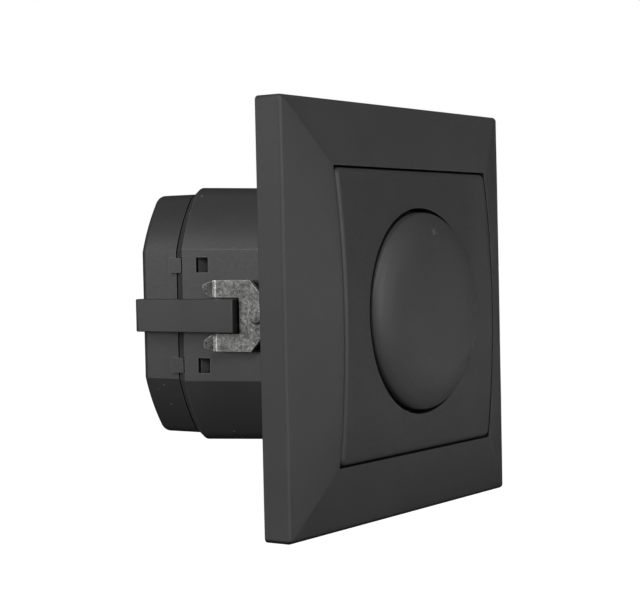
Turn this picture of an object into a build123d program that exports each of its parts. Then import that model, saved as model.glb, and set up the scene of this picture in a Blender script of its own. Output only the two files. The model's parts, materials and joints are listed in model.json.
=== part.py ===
from build123d import *
import os

# Flush rotary push dimmer for a 60 mm wall box, in millimetres.
# +Z is up, the front faces -Y and the wall plane is Y = 0, with the knob's axis on the Y axis.
# A height is measured from the wall plane towards the room, a depth from it into the wall.

# Clearances
fit_gap = 0.3
running_gap = 0.05
screw_gap = 0.25

# Frame
frame_size = 81.0
frame_wall = 2.0
rim_height = 5.5
opening_width = 57.0
opening_height = 55.9
edge_height = 8.85
arch_rise = 1.6
lip_wall = 1.6
ledge_height = 5.0
ledge_thickness = 1.5
ledge_width = 1.6
frame_edge_radius = 0.9

# Cover plate
cover_wall = 1.8
cover_corner_radius = 1.6
cover_edge_radius = 1.2
cover_proud = 0.25
well_wall = 1.6
well_floor = 1.5

# Knob
knob_radius = 19.5
knob_taper = 0.2
knob_height = 13.8
knob_crown = 0.9
knob_edge_radius = 1.4
knob_skirt_wall = 1.5
knob_top_wall = 1.7
knob_floor_gap = 0.5
knob_gap = 0.8
hub_radius = 5.0
pip_radius = 0.9
pip_rise = 0.6
pip_edge_radius = 0.2
pip_circle = 15.4
push_travel = 1.5

# Turning control
shaft_radius = 3.0
shaft_flat = 1.6
shaft_stand_out = 1.1
bush_radius = 5.0
bush_stand_out = 0.8
bush_flange = 1.2
bush_flange_inset = 0.4
nut_across_flats = 14.0
nut_thickness = 2.2
pot_radius = 8.4
pot_wall = 1.0
pot_length = 6.0
pot_leg_width = 1.0
pot_leg_thickness = 0.6
pot_leg_pitch = 4.0
rotor_gap = 0.8
rotor_length = 2.4

# Push switch
switch_width = 12.0
switch_length = 4.6
switch_gap = 0.5
switch_wall = 1.2
switch_bore = 4.4
plunger_radius = 2.2
plunger_flange_radius = 3.7
plunger_flange = 0.7
plunger_gap = 0.1
spring_radius = 2.9
spring_wire = 0.35
spring_turns = 3

# Support plate
plate_margin = 3.0
plate_corner_radius = 8.0
plate_thickness = 1.2
box_spacing = 60.0
box_slot_width = 3.6
box_slot_length = 7.0
boss_radius = 14.0

# Insert housing and rear cap
body_width = 46.4
body_height = 51.2
body_flat_height = 26.4
body_top_width = 34.4
shoulder_bulge = 0.6
body_corner_radius = 3.4
flat_corner_radius = 0.8
body_draft = 1.4
body_wall = 1.6
front_wall = 2.0
housing_depth = 33.5
cap_length = 10.1
cap_inset = 0.75
cap_drop = 0.5
cap_seam = 0.35
rear_bevel = 1.8
cap_back_wall = 2.0
cap_back_radius = 1.8
cap_spigot = 3.0
boss_height = 2.5
boss_wall = 1.6
post_radius = 2.2
post_inset_x = 8.0
post_inset_z = 3.8

# Snap hooks of the rear cap
snap_z = 10.0
snap_width = 3.0
snap_window = 3.0
snap_window_bridge = 5.3
snap_thickness = 1.1
snap_reach = 1.3

# Claws
sheet = 0.8
bend_radius = 0.8
claw_half_height = 7.0
claw_neck_half_height = 4.7
claw_shoulder_depth = 11.6
claw_shoulder = 2.2
claw_stand_off = 0.9
claw_flange_depth = 2.6
claw_fold_depth = 22.4
prong_out = 2.0
prong_back = 1.7
prong_tip = 0.3
prong_drop = 1.2
fork_depth = 16.4
claw_dimple_radius = 1.7
claw_dimple_depth = 12.2
claw_dimple_rise = 0.5
claw_dimple_slope = 40
claw_flange_length = 6.1
claw_slot_length = 4.3
claw_slot_shift = 0.3
claw_screw_inset = 2.5
claw_screw_radius = 1.5
claw_screw_head_radius = 2.7
claw_screw_head = 1.5
claw_screw_depth = 10.6
pocket_end_gap = 1.0
driver_slot_width = 0.8
driver_slot_depth = 0.8
pocket_wall = 1.2

# Plastic guides between the fork arms
guide_half_height = 3.3
guide_fork_gap = 0.5
guide_fold_back = 3.0
guide_rear_gap = 0.6
guide_front_rise = 3.2
guide_fold_rise = 2.4
guide_rear_rise = 2.0
guide_end_radius = 1.2

# Plate screws
plate_screw_inset = 6.0
plate_screw_radius = 1.3
plate_screw_head_radius = 2.6
plate_screw_head = 1.4
plate_screw_length = 8.0

# Circuit board and what it carries
board_thickness = 1.6
board_margin = 2.6
board_corner = 8.0
heat_sink_width = 28.0
heat_sink_length = 16.0
heat_sink_sheet = 1.5
heat_sink_inset = 2.6
triac_width = 10.0
triac_length = 14.0
triac_thickness = 4.4
triac_lift = 2.6
triac_leg_width = 0.9
triac_leg_pitch = 2.54
choke_radius = 6.2
choke_core_width = 3.0
choke_core_height = 5.0
choke_winding_wall = 1.0
choke_angle = 300.0
choke_gap = 0.6
capacitor_width = 15.0
capacitor_thickness = 6.0
capacitor_length = 11.0
capacitor_radius = 0.8
capacitor_gap = 1.2
fuse_radius = 2.2
fuse_length = 18.0
fuse_cap_length = 4.5
fuse_cap_wall = 0.3
fuse_clip_sheet = 0.6
fuse_lift = 1.0
fuse_gap = 0.7

# Terminals
terminal_block_inset = 4.0
terminal_block_height = 10.0
terminal_block_wall = 1.0
terminal_block_gap = 2.0
clamp_length = 6.7
clamp_back_gap = 1.0
clamp_stand_out = 1.0
clamp_wall = 1.0
clamp_back_wall = 1.3
terminal_screw_radius = 1.5
terminal_screw_head_radius = 2.4
terminal_screw_head = 2.0
terminal_screw_length = 4.6
wire_hole_radius = 1.9
access_hole_radius = 2.9

# Worked-out places, from the front to the back
half_frame = frame_size / 2
half_opening_x = opening_width / 2
half_opening_z = opening_height / 2
cover_height = edge_height + cover_proud
arch_height = cover_height + arch_rise
well_radius = knob_radius + knob_gap
floor_back_height = ledge_height - well_floor
bush_height = ledge_height + nut_thickness + bush_stand_out
knob_skirt_height = ledge_height + push_travel + knob_floor_gap
hub_height = bush_height + push_travel + fit_gap
shaft_end_height = knob_height - knob_top_wall - fit_gap
plate_size = frame_size - 2 * (frame_wall + plate_margin)
half_box = box_spacing / 2
bush_back_height = boss_height - boss_wall
bush_flange_depth = bush_flange - bush_back_height
pot_depth = bush_flange_depth + pot_length
rotor_depth = bush_flange_depth + (pot_length - pot_wall - rotor_length) / 2
rotor_radius = pot_radius - pot_wall - rotor_gap
pot_wafer_width = 2 * pot_leg_pitch + 3 * pot_leg_width
shaft_depth = pot_depth + shaft_stand_out
switch_depth = shaft_depth + push_travel + switch_gap
board_depth = switch_depth + switch_length
board_back = board_depth + board_thickness
cap_depth = housing_depth + cap_length
bevel_depth = housing_depth - rear_bevel
snap_window_depth = housing_depth - snap_window_bridge - snap_window

# Worked-out places, across the insert
flat_x = body_width / 2
cap_x = flat_x - cap_inset
inner_x = flat_x - body_wall
inner_z = body_height / 2 - cap_drop - body_wall
board_width = 2 * (inner_x - board_margin)
board_height = 2 * (inner_z - board_margin)
post_x = board_width / 2 - post_inset_x
post_z = board_height / 2 - post_inset_z
plate_screw_z = body_height / 2 - plate_screw_inset
heat_sink_z = board_height / 2 - heat_sink_inset
claw_x = flat_x + claw_stand_off + sheet / 2
claw_screw_x = claw_x - claw_screw_inset
pivot_x = claw_x - claw_flange_length
pivot_depth = sheet / 2 + running_gap
pocket_x = pivot_x - sheet - fit_gap
pocket_depth = claw_screw_depth + pocket_end_gap
guide_front_depth = fork_depth + guide_fork_gap
guide_fold_depth = housing_depth - guide_fold_back
guide_rear_depth = cap_depth - guide_rear_gap
clamp_back = cap_depth - cap_back_wall - clamp_back_gap
clamp_depth = clamp_back - clamp_length
clamp_channel = clamp_length - clamp_wall - clamp_back_wall
wire_depth = clamp_depth + clamp_wall + clamp_channel / 2
terminal_block_depth = clamp_back - clamp_stand_out
terminal_block_width = body_top_width - 2 * terminal_block_gap
terminal_pitch = (terminal_block_width - terminal_block_wall) / 3
terminal_z = terminal_block_height / 2 + terminal_block_inset - body_height / 2
terminal_columns = [(n * terminal_pitch, terminal_z) for n in (-1, 0, 1)]
fuse_cap_radius = fuse_radius + fuse_cap_wall
fuse_clip_half_height = fuse_cap_radius + fuse_clip_sheet
fuse_depth = board_back + fuse_lift + fuse_cap_radius
fuse_z = terminal_z + terminal_block_height / 2 + fuse_gap + fuse_clip_half_height
choke_outside = choke_radius + choke_core_width / 2 + choke_winding_wall
choke_x = -choke_outside - choke_gap
choke_z = fuse_z + fuse_clip_half_height + choke_gap + choke_outside
capacitor_x = capacitor_gap + capacitor_width / 2
capacitor_z = fuse_z + fuse_clip_half_height + capacitor_gap + capacitor_thickness / 2


def in_front(height):
    """Plane parallel to the wall, so far in front of it, looking at the room."""
    return Plane.XZ.offset(height)


def behind(depth):
    """Plane parallel to the wall, so far behind it, looking at the room."""
    return Plane.XZ.offset(-depth)


def insert_outline(inset, drop=0):
    """Outline of the insert, with flat sides and bulged shoulders, made smaller by the drop and the inset."""
    top_x, top_z, flat_z = body_top_width / 2, body_height / 2 - drop, (body_flat_height - drop) / 2
    with BuildSketch() as outline:
        with BuildLine():
            Line((flat_x, -flat_z), (flat_x, flat_z))
            SagittaArc((flat_x, flat_z), (top_x, top_z), -shoulder_bulge)
            Line((top_x, top_z), (-top_x, top_z))
            SagittaArc((-top_x, top_z), (-flat_x, flat_z), -shoulder_bulge)
            Line((-flat_x, flat_z), (-flat_x, -flat_z))
            SagittaArc((-flat_x, -flat_z), (-top_x, -top_z), -shoulder_bulge)
            Line((-top_x, -top_z), (top_x, -top_z))
            SagittaArc((top_x, -top_z), (flat_x, -flat_z), -shoulder_bulge)
        make_face()
        rows = outline.vertices().group_by(Axis.Y)
        fillet(rows[0] + rows[-1], body_corner_radius)
        columns = outline.vertices().group_by(Axis.X)
        fillet(columns[0] + columns[-1], flat_corner_radius)
        offset(amount=-inset, mode=Mode.REPLACE)
    return outline.sketch


def arched_side(depth_in, half_height, foot, rise):
    """Side view of a plate with an arched front, standing on the given foot height."""
    with BuildSketch() as side:
        with BuildLine():
            Polyline(
                (-depth_in, -half_height),
                (-foot, -half_height),
                (-foot, half_height),
                (-depth_in, half_height),
            )
            ThreePointArc((-depth_in, half_height), (-depth_in - rise, 0), (-depth_in, -half_height))
        make_face()
    return side.sketch


housing_inside = insert_outline(body_wall, cap_drop)
cap_outline = insert_outline(cap_inset, cap_drop)
cap_inside = insert_outline(cap_inset + body_wall, cap_drop)
spigot_outline = insert_outline(body_wall + fit_gap / 2, cap_drop)
spigot_inside = insert_outline(2 * body_wall + fit_gap / 2, cap_drop)

os.makedirs("parts", exist_ok=True)

# Frame: four lofted rails that meet at the mitres, hollow behind, with a ledge for the cover plate
with BuildPart() as frame_cavity:
    with BuildSketch(in_front(0)):
        Rectangle(frame_size - 2 * frame_wall, frame_size - 2 * frame_wall)
    extrude(amount=rim_height - frame_wall)
    with BuildSketch(in_front(rim_height - frame_wall)):
        Rectangle(frame_size - 2 * frame_wall, frame_size - 2 * frame_wall)
    with BuildSketch(in_front(edge_height - frame_wall)):
        Rectangle(opening_width + 2 * lip_wall, opening_height + 2 * lip_wall)
    loft()
    with BuildSketch(in_front(ledge_height - ledge_thickness)):
        Rectangle(opening_width + 2 * lip_wall, opening_height + 2 * lip_wall)
    extrude(amount=edge_height, mode=Mode.SUBTRACT)

with BuildPart() as frame:
    with BuildSketch(Plane.YZ.offset(half_frame)):
        with BuildLine():
            Polyline(
                (-rim_height, -half_frame),
                (0, -half_frame),
                (0, half_frame),
                (-rim_height, half_frame),
                close=True,
            )
        make_face()
    with BuildSketch(Plane.YZ.offset(half_opening_x)):
        add(arched_side(edge_height, half_opening_z, 0, arch_rise))
    loft(ruled=True)
    mirror(about=Plane.YZ)
    with BuildSketch(Plane.XY.offset(half_opening_z)):
        with Locations((0, -edge_height / 2)):
            Rectangle(opening_width, edge_height)
    with BuildSketch(Plane.XY.offset(half_frame)):
        with Locations((0, -rim_height / 2)):
            Rectangle(frame_size, rim_height)
    loft(ruled=True)
    mirror(about=Plane.XY)
    outer_corners = frame.edges().filter_by(Axis.Y).group_by(SortBy.DISTANCE)[-1]
    folds = frame.edges().filter_by_position(Axis.Y, -rim_height, -rim_height)
    fillet(outer_corners + folds, frame_edge_radius)
    add(frame_cavity.part, mode=Mode.SUBTRACT)
    with BuildSketch(in_front(ledge_height - ledge_thickness)):
        Rectangle(opening_width + lip_wall, opening_height + lip_wall)
        Rectangle(opening_width - 2 * ledge_width, opening_height - 2 * ledge_width, mode=Mode.SUBTRACT)
    extrude(amount=ledge_thickness)
frame.part.label = "frame"
export_step(frame.part, "parts/frame.step")

# Cover plate: arched shell that stands on the frame's ledge, with a well for the knob
cover_half_x = half_opening_x - fit_gap
cover_half_z = half_opening_z - fit_gap
with BuildPart() as cover_plate:
    with BuildSketch(Plane.YZ):
        add(arched_side(cover_height, cover_half_z, ledge_height, arch_rise))
    extrude(amount=cover_half_x, both=True)
    fillet(cover_plate.edges().filter_by(Axis.Y), cover_corner_radius)
    front_edges = cover_plate.faces().sort_by(Axis.Y)[0].edges()
    fillet(front_edges, cover_edge_radius)
    with BuildSketch(Plane.YZ):
        add(arched_side(cover_height - cover_wall, cover_half_z - cover_wall, ledge_height, arch_rise))
    extrude(amount=cover_half_x - cover_wall, both=True, mode=Mode.SUBTRACT)
    with BuildSketch(in_front(floor_back_height)):
        Circle(well_radius + well_wall)
    extrude(amount=edge_height - floor_back_height)
    with BuildSketch(in_front(ledge_height)):
        Circle(well_radius)
    extrude(amount=arch_height, mode=Mode.SUBTRACT)
    with BuildSketch(in_front(floor_back_height)):
        Circle(bush_radius + screw_gap)
    extrude(amount=well_floor, mode=Mode.SUBTRACT)
cover_plate.part.label = "cover_plate"
export_step(cover_plate.part, "parts/cover_plate.step")

# Knob: shallow cap with a slightly crowned face, a hub for the flatted shaft and a raised pip
knob_face_radius = knob_radius - knob_taper
with BuildPart() as knob:
    with BuildSketch(Plane.XY) as knob_section:
        with BuildLine():
            Polyline(
                (0, -knob_skirt_height),
                (knob_radius, -knob_skirt_height),
                (knob_face_radius, -knob_height),
            )
            ThreePointArc(
                (knob_face_radius, -knob_height),
                (knob_face_radius / 2, -knob_height - knob_crown * 3 / 4),
                (0, -knob_height - knob_crown),
            )
            Line((0, -knob_height - knob_crown), (0, -knob_skirt_height))
        make_face()
        fillet(knob_section.vertices().sort_by(Axis.X)[-2:].sort_by(Axis.Y)[0], knob_edge_radius)
    revolve(axis=Axis.Y)
    with BuildSketch(in_front(knob_skirt_height)):
        Circle(knob_radius - knob_skirt_wall)
    extrude(amount=knob_height - knob_top_wall - knob_skirt_height, taper=1, mode=Mode.SUBTRACT)
    with BuildSketch(in_front(hub_height)):
        Circle(hub_radius)
        Circle(shaft_radius + running_gap, mode=Mode.SUBTRACT)
    extrude(amount=knob_height - knob_top_wall - hub_height)
    with BuildSketch(in_front(hub_height)):
        with Locations((0, -(shaft_flat + running_gap + hub_radius) / 2)):
            Rectangle(hub_radius, hub_radius - shaft_flat - running_gap)
        Circle(hub_radius - running_gap, mode=Mode.INTERSECT)
    extrude(amount=knob_height - knob_top_wall - hub_height)
    with BuildSketch(in_front(knob_height - knob_top_wall / 2)):
        with Locations((0, pip_circle)):
            Circle(pip_radius)
    extrude(amount=knob_top_wall / 2 + pip_rise)
    fillet(knob.faces().filter_by(Axis.Y).sort_by(Axis.Y)[0].edges(), pip_edge_radius)
knob.part.label = "knob"
export_step(knob.part, "parts/knob.step")

# Fixing nut: thin hexagon nut on the bush
with BuildPart() as fixing_nut:
    with BuildSketch(in_front(ledge_height)):
        RegularPolygon(nut_across_flats / 2, 6, major_radius=False)
        Circle(bush_radius + running_gap, mode=Mode.SUBTRACT)
    extrude(amount=nut_thickness)
fixing_nut.part.label = "fixing_nut"
export_step(fixing_nut.part, "parts/fixing_nut.step")

# Support plate: pressed sheet with a centring hole, four box-screw slots and the claw-screw holes
with BuildPart() as support_plate:
    with BuildSketch(in_front(0)):
        RectangleRounded(plate_size, plate_size, plate_corner_radius)
        Circle(boss_radius + fit_gap, mode=Mode.SUBTRACT)
        with Locations((half_box, 0), (-half_box, 0), (0, half_box), (0, -half_box)):
            SlotOverall(box_slot_length, box_slot_width, mode=Mode.SUBTRACT)
        with Locations((claw_screw_x, 0), (-claw_screw_x, 0)):
            Circle(claw_screw_radius + screw_gap, mode=Mode.SUBTRACT)
        with Locations((0, plate_screw_z), (0, -plate_screw_z)):
            Circle(plate_screw_radius + screw_gap, mode=Mode.SUBTRACT)
    extrude(amount=plate_thickness)
support_plate.part.label = "support_plate"
export_step(support_plate.part, "parts/support_plate.step")

# Plate screws: hold the support plate on the housing
with BuildPart() as plate_screws:
    with BuildSketch(behind(plate_screw_length)):
        with Locations((0, plate_screw_z), (0, -plate_screw_z)):
            Circle(plate_screw_radius)
    extrude(amount=plate_screw_length + plate_thickness)
    with BuildSketch(in_front(plate_thickness)):
        with Locations((0, plate_screw_z), (0, -plate_screw_z)):
            Circle(plate_screw_head_radius)
    extrude(amount=plate_screw_head)
    fillet(plate_screws.faces().sort_by(Axis.Y)[:2].edges(), plate_screw_head / 3)
plate_screws.part.label = "plate_screws"
export_step(plate_screws.part, "parts/plate_screws.step")

# Housing: eight-sided shell, open at the back, with a pocket on each side for the claw and its screw
pocket_half_height = claw_neck_half_height + 2 * fit_gap
pocket_inner_x = pocket_x - pocket_wall
with BuildPart() as housing:
    with BuildSketch(behind(housing_depth)):
        add(cap_outline)
    with BuildSketch(behind(bevel_depth)):
        add(insert_outline(0))
    with BuildSketch(behind(0)):
        add(insert_outline(0, body_draft))
    loft(ruled=True)
    with BuildSketch(behind(housing_depth)):
        add(housing_inside)
    with BuildSketch(behind(front_wall)):
        add(insert_outline(body_wall, body_draft))
    loft(ruled=True, mode=Mode.SUBTRACT)
    with BuildSketch(in_front(0)):
        Circle(boss_radius)
    extrude(amount=boss_height)
    with BuildSketch(behind(front_wall)):
        Circle(boss_radius - boss_wall)
    extrude(amount=front_wall + bush_back_height, mode=Mode.SUBTRACT)
    with BuildSketch(in_front(bush_back_height)):
        Circle(bush_radius + screw_gap)
    extrude(amount=boss_wall, mode=Mode.SUBTRACT)
    with BuildSketch(behind(board_depth)):
        with GridLocations(2 * post_x, 2 * post_z, 2, 2):
            Circle(post_radius)
        with Locations((0, plate_screw_z), (0, -plate_screw_z)):
            Circle(plate_screw_radius + body_wall)
    extrude(amount=board_depth - front_wall)
    with BuildSketch(behind(plate_screw_length)):
        with Locations((0, plate_screw_z), (0, -plate_screw_z)):
            Circle(plate_screw_radius)
    extrude(amount=plate_screw_length, mode=Mode.SUBTRACT)
    with BuildSketch(behind(pocket_depth + pocket_wall)):
        with Locations(((flat_x + pocket_inner_x) / 2, 0), (-(flat_x + pocket_inner_x) / 2, 0)):
            Rectangle(flat_x - pocket_inner_x, 2 * (pocket_half_height + pocket_wall))
    extrude(amount=pocket_depth + pocket_wall)
    with BuildSketch(behind(pocket_depth)):
        with Locations(((flat_x + pocket_x) / 2, 0), (-(flat_x + pocket_x) / 2, 0)):
            Rectangle(flat_x - pocket_x, 2 * pocket_half_height)
    extrude(amount=pocket_depth, mode=Mode.SUBTRACT)
    with BuildSketch(behind(snap_window_depth + snap_window)):
        with GridLocations(2 * flat_x, 2 * snap_z, 2, 2):
            Rectangle(4 * body_wall, snap_window)
    extrude(amount=snap_window, mode=Mode.SUBTRACT)
    with BuildSketch(behind(housing_depth)):
        with GridLocations(2 * flat_x, 2 * snap_z, 2, 2):
            Rectangle(2 * body_wall, snap_width + fit_gap)
    extrude(amount=rear_bevel, mode=Mode.SUBTRACT)
housing.part.label = "housing"
export_step(housing.part, "parts/housing.step")

# Rear cap: back of the insert, with a spigot and four hooks that snap into the housing's windows
snap_x = inner_x - fit_gap / 2
snap_hook_depth = snap_window_depth + snap_window - fit_gap
with BuildPart() as rear_cap:
    with BuildSketch(behind(cap_depth)):
        add(cap_outline)
    extrude(amount=cap_depth - housing_depth - cap_seam)
    fillet(rear_cap.faces().sort_by(Axis.Y)[-1].edges(), cap_back_radius)
    with BuildSketch(behind(cap_depth - cap_back_wall)):
        add(cap_inside)
    extrude(amount=cap_depth, mode=Mode.SUBTRACT)
    with BuildSketch(behind(housing_depth + body_wall)):
        add(spigot_outline)
        add(spigot_inside, mode=Mode.SUBTRACT)
    extrude(amount=cap_spigot + body_wall)
    with BuildSketch(behind(housing_depth + rear_bevel)):
        with GridLocations(2 * (flat_x - body_wall / 2), 2 * snap_z, 2, 2):
            Rectangle(body_wall, snap_width)
    extrude(amount=2 * rear_bevel - fit_gap)
    with BuildSketch(Plane.XY.offset(snap_z - snap_width / 2)):
        with BuildLine():
            Polyline(
                (-snap_x, housing_depth + body_wall),
                (-snap_x, snap_hook_depth),
                (-snap_x - snap_reach, snap_hook_depth),
                (-snap_x, snap_window_depth + fit_gap),
                (-snap_x + snap_thickness, snap_window_depth - fit_gap),
                (-snap_x + snap_thickness, housing_depth + body_wall),
                close=True,
            )
        make_face()
        mirror(about=Plane.YZ)
    extrude(amount=snap_width)
    mirror(about=Plane.XY)
    with BuildSketch(behind(cap_depth)):
        with Locations(terminal_columns):
            Circle(access_hole_radius)
    extrude(amount=cap_back_wall, mode=Mode.SUBTRACT)
    with BuildSketch(Plane.XY.offset(-body_height / 2)):
        with Locations([(x, wire_depth) for x, z in terminal_columns]):
            Circle(wire_hole_radius)
    extrude(amount=2 * body_wall, mode=Mode.SUBTRACT)
rear_cap.part.label = "rear_cap"
export_step(rear_cap.part, "parts/rear_cap.step")

# Claws, their screws and the plastic guides, on the left and on the right
prong_depth = claw_fold_depth + prong_back
prong_end = prong_depth + sheet / 2
for side, name in ((-1, "left"), (1, "right")):
    # Fork of bent sheet: round-edged foot and flange behind the plate, leg along the housing, two prongs
    with BuildPart() as claw:
        with BuildSketch(Plane.XY.offset(-claw_half_height)):
            with BuildLine():
                FilletPolyline(
                    (side * pivot_x, pivot_depth),
                    (side * pivot_x, claw_flange_depth),
                    (side * claw_x, claw_flange_depth),
                    (side * claw_x, claw_fold_depth),
                    (side * (claw_x + prong_out), prong_depth),
                    radius=bend_radius,
                )
            trace(line_width=sheet)
            with Locations((side * pivot_x, pivot_depth)):
                Circle(sheet / 2)
        extrude(amount=2 * claw_half_height)
        with BuildSketch(Plane.YZ):
            with BuildLine():
                Polyline(
                    (0, claw_neck_half_height),
                    (claw_shoulder_depth, claw_neck_half_height),
                    (claw_shoulder_depth + claw_shoulder, claw_half_height),
                    (0, claw_half_height),
                    close=True,
                )
            make_face()
            with BuildLine():
                Polyline(
                    (claw_fold_depth, guide_half_height),
                    (prong_end, guide_half_height),
                    (prong_end, claw_half_height - prong_drop - prong_tip),
                    close=True,
                )
            make_face()
            with BuildLine():
                Polyline(
                    (claw_fold_depth, claw_half_height),
                    (prong_end, claw_half_height),
                    (prong_end, claw_half_height - prong_drop),
                    close=True,
                )
            make_face()
            mirror(about=Plane.XZ)
            with Locations(((fork_depth + prong_end) / 2, 0)):
                Rectangle(prong_end - fork_depth, 2 * (guide_half_height + fit_gap))
        extrude(amount=side * 2 * claw_x, mode=Mode.SUBTRACT)
        with BuildSketch(Plane.YZ.offset(side * (claw_x + sheet / 2))):
            with Locations((claw_dimple_depth, 0)):
                Circle(claw_dimple_radius)
        extrude(amount=side * claw_dimple_rise, taper=claw_dimple_slope)
        with BuildSketch(Plane.YZ.offset(side * (claw_x - sheet / 2))):
            with Locations((claw_dimple_depth, 0)):
                Circle(claw_dimple_radius - sheet / 2)
        extrude(amount=side * claw_dimple_rise, taper=claw_dimple_slope, mode=Mode.SUBTRACT)
        with BuildSketch(behind(claw_flange_depth + sheet)):
            with Locations((side * (claw_screw_x - claw_slot_shift), 0)):
                SlotOverall(claw_slot_length, 2 * (claw_screw_radius + fit_gap))
        extrude(amount=2 * sheet, mode=Mode.SUBTRACT)
    claw.part.label = f"claw_{name}"
    export_step(claw.part, f"parts/claw_{name}.step")

    # Slotted pan-head screw that draws the claw's flange towards the plate
    with BuildPart() as claw_screw:
        with BuildSketch(behind(claw_screw_depth)):
            with Locations((side * claw_screw_x, 0)):
                Circle(claw_screw_radius)
        extrude(amount=claw_screw_depth + plate_thickness + running_gap)
        with BuildSketch(in_front(plate_thickness + running_gap)):
            with Locations((side * claw_screw_x, 0)):
                Circle(claw_screw_head_radius)
        extrude(amount=claw_screw_head)
        fillet(claw_screw.faces().sort_by(Axis.Y)[0].edges(), claw_screw_head / 3)
        with BuildSketch(in_front(plate_thickness + running_gap + claw_screw_head - driver_slot_depth)):
            with Locations((side * claw_screw_x, 0)):
                Rectangle(2 * claw_screw_head_radius, driver_slot_width)
        extrude(amount=driver_slot_depth, mode=Mode.SUBTRACT)
    claw_screw.part.label = f"claw_screw_{name}"
    export_step(claw_screw.part, f"parts/claw_screw_{name}.step")

    # Plastic strip on the flat of the insert, with its front end between the claw's arms
    with BuildPart() as claw_guide:
        with BuildSketch(Plane.XY.offset(-guide_half_height)):
            with BuildLine():
                Polyline(
                    (side * flat_x, guide_front_depth),
                    (side * (flat_x + guide_front_rise), guide_front_depth),
                    (side * (flat_x + guide_fold_rise), guide_fold_depth),
                    (side * (flat_x + guide_rear_rise), guide_rear_depth),
                    (side * cap_x, guide_rear_depth),
                    (side * cap_x, housing_depth),
                    (side * flat_x, bevel_depth),
                    close=True,
                )
            make_face()
        extrude(amount=2 * guide_half_height)
        upright_edges = claw_guide.edges().filter_by(Axis.Z)
        rear_end = upright_edges.group_by(Axis.Y)[-1].sort_by(SortBy.DISTANCE)[-1]
        fillet(rear_end, guide_end_radius)
    claw_guide.part.label = f"claw_guide_{name}"
    export_step(claw_guide.part, f"parts/claw_guide_{name}.step")

# Threaded bush with its flange behind the housing's front wall
with BuildPart() as pot_bush:
    with BuildSketch(behind(bush_flange_depth)):
        Circle(pot_radius - bush_flange_inset)
    extrude(amount=bush_flange)
    with BuildSketch(in_front(bush_back_height)):
        Circle(bush_radius)
    extrude(amount=bush_height - bush_back_height)
    with BuildSketch(behind(bush_flange_depth)):
        Circle(shaft_radius + running_gap)
    extrude(amount=bush_flange_depth + bush_height, mode=Mode.SUBTRACT)
pot_bush.part.label = "pot_bush"
export_step(pot_bush.part, "parts/pot_bush.step")

# Can of the turning control, closed in front by the bush's flange, with a wafer and three legs on the board
with BuildPart() as pot_body:
    with BuildSketch(behind(pot_depth)):
        Circle(pot_radius)
    extrude(amount=pot_length)
    with BuildSketch(behind(pot_depth - pot_wall)):
        Circle(pot_radius - pot_wall)
    extrude(amount=pot_length - pot_wall, mode=Mode.SUBTRACT)
    with BuildSketch(behind(pot_depth)):
        with Locations((0, -pot_radius / 2)):
            Rectangle(pot_wafer_width, pot_radius)
    extrude(amount=pot_wall)
    with BuildSketch(behind(board_depth)):
        with Locations((0, pot_leg_thickness - pot_radius)):
            with GridLocations(pot_leg_pitch, 0, 3, 1):
                Rectangle(pot_leg_width, pot_leg_thickness)
    extrude(amount=board_depth - pot_depth)
    with BuildSketch(behind(pot_depth)):
        Circle(shaft_radius + fit_gap)
    extrude(amount=pot_wall, mode=Mode.SUBTRACT)
pot_body.part.label = "pot_body"
export_step(pot_body.part, "parts/pot_body.step")


def flatted_circle(radius, flat):
    """Round shaft section with one flat below its centre."""
    with BuildSketch() as section:
        Circle(radius)
        with Locations((0, -flat)):
            Rectangle(2 * radius, 2 * radius, align=(Align.CENTER, Align.MAX), mode=Mode.SUBTRACT)
    return section.sketch


shaft_section = flatted_circle(shaft_radius, shaft_flat)
shaft_bore = flatted_circle(shaft_radius + running_gap, shaft_flat + running_gap)

# Rotor: track carrier that turns with the flatted shaft and lets it slide
with BuildPart() as pot_rotor:
    with BuildSketch(behind(rotor_depth + rotor_length)):
        Circle(rotor_radius)
        add(shaft_bore, mode=Mode.SUBTRACT)
    extrude(amount=rotor_length)
pot_rotor.part.label = "pot_rotor"
export_step(pot_rotor.part, "parts/pot_rotor.step")

# Flatted shaft, from the knob's hub to the push switch
with BuildPart() as pot_shaft:
    with BuildSketch(behind(shaft_depth)):
        add(shaft_section)
    extrude(amount=shaft_depth + shaft_end_height)
pot_shaft.part.label = "pot_shaft"
export_step(pot_shaft.part, "parts/pot_shaft.step")

# Push switch: box on the board round the plunger and its spring
plunger_flange_depth = switch_depth + switch_wall + running_gap
with BuildPart() as push_switch:
    with BuildSketch(behind(board_depth)):
        Rectangle(switch_width, switch_width)
    extrude(amount=board_depth - switch_depth)
    with BuildSketch(behind(board_depth)):
        Circle(switch_bore)
    extrude(amount=board_depth - switch_depth - switch_wall, mode=Mode.SUBTRACT)
    with BuildSketch(behind(switch_depth + switch_wall)):
        Circle(plunger_radius + running_gap)
    extrude(amount=switch_wall, mode=Mode.SUBTRACT)
push_switch.part.label = "push_switch"
export_step(push_switch.part, "parts/push_switch.step")

with BuildPart() as push_plunger:
    with BuildSketch(behind(plunger_flange_depth + plunger_flange)):
        Circle(plunger_radius)
    extrude(amount=plunger_flange_depth + plunger_flange - shaft_depth - plunger_gap)
    with BuildSketch(behind(plunger_flange_depth + plunger_flange)):
        Circle(plunger_flange_radius)
    extrude(amount=plunger_flange)
push_plunger.part.label = "push_plunger"
export_step(push_plunger.part, "parts/push_plunger.step")

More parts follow.
